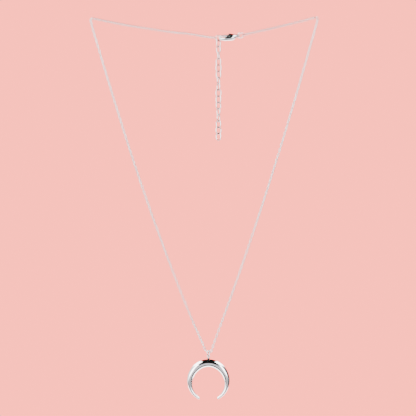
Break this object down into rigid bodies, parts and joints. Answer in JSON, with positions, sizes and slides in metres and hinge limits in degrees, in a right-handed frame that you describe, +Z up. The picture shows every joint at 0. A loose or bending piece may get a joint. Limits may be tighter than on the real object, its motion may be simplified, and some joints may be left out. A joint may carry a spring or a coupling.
{
  "type": "crescent moon pendant necklace",
  "caption": "Crescent moon pendant, a round horn whose two tips point down, hung by a jump ring from a fine cable chain with a lobster clasp and an extender.",
  "frame": {"origin": "midway between the two places, one above each end of the loop, where the chain goes over what holds it", "axes": "+Z up, +X to the right of someone who faces the necklace, -Y towards them; the necklace hangs in the XZ plane"},
  "size_m": [0.1107, 0.0042, 0.1849],
  "materials": {
    "polished_silver": "mirror-polished silver, with fine hairlines from polishing"
  },
  "bodies": {
    "necklace": {"chain_left": "polished_silver", "chain_right": "polished_silver", "catch_ring": "polished_silver", "extender_link_01": "polished_silver", "extender_link_02": "polished_silver", "extender_link_03": "polished_silver", "extender_link_04": "polished_silver", "extender_link_05": "polished_silver", "extender_link_06": "polished_silver", "extender_link_07": "polished_silver", "extender_link_08": "polished_silver", "extender_link_09": "polished_silver", "extender_link_10": "polished_silver", "extender_link_11": "polished_silver", "extender_link_12": "polished_silver", "extender_link_13": "polished_silver", "extender_link_14": "polished_silver", "extender_link_15": "polished_silver", "extender_link_16": "polished_silver", "clasp_body": "polished_silver", "clasp_ring": "polished_silver"},
    "lever": {"clasp_lever": "polished_silver"},
    "ring": {"pendant_ring": "polished_silver"},
    "pendant": {"crescent": "polished_silver"}
  },
  "joints": [
    {"name": "ring_swing", "type": "hinge", "parent": "necklace", "child": "ring", "pos_m": [0.00212, 0, -0.1613], "axis": [1, 0, 0], "range_deg": [-80, 80]},
    {"name": "pendant_swing", "type": "hinge", "parent": "ring", "child": "pendant", "pos_m": [0.00212, 0, -0.16316], "axis": [0.3746, 0.9272, 0], "range_deg": [-70, 70]},
    {"name": "lever_swing", "type": "hinge", "parent": "necklace", "child": "lever", "pos_m": [0.0127, -0.00008, -0.00879], "axis": [-0.1066, -0.6428, 0.7586], "range_deg": [0, 25], "stiffness_Nm_per_rad": 0.004, "springref_deg": -17.19}
  ]
}
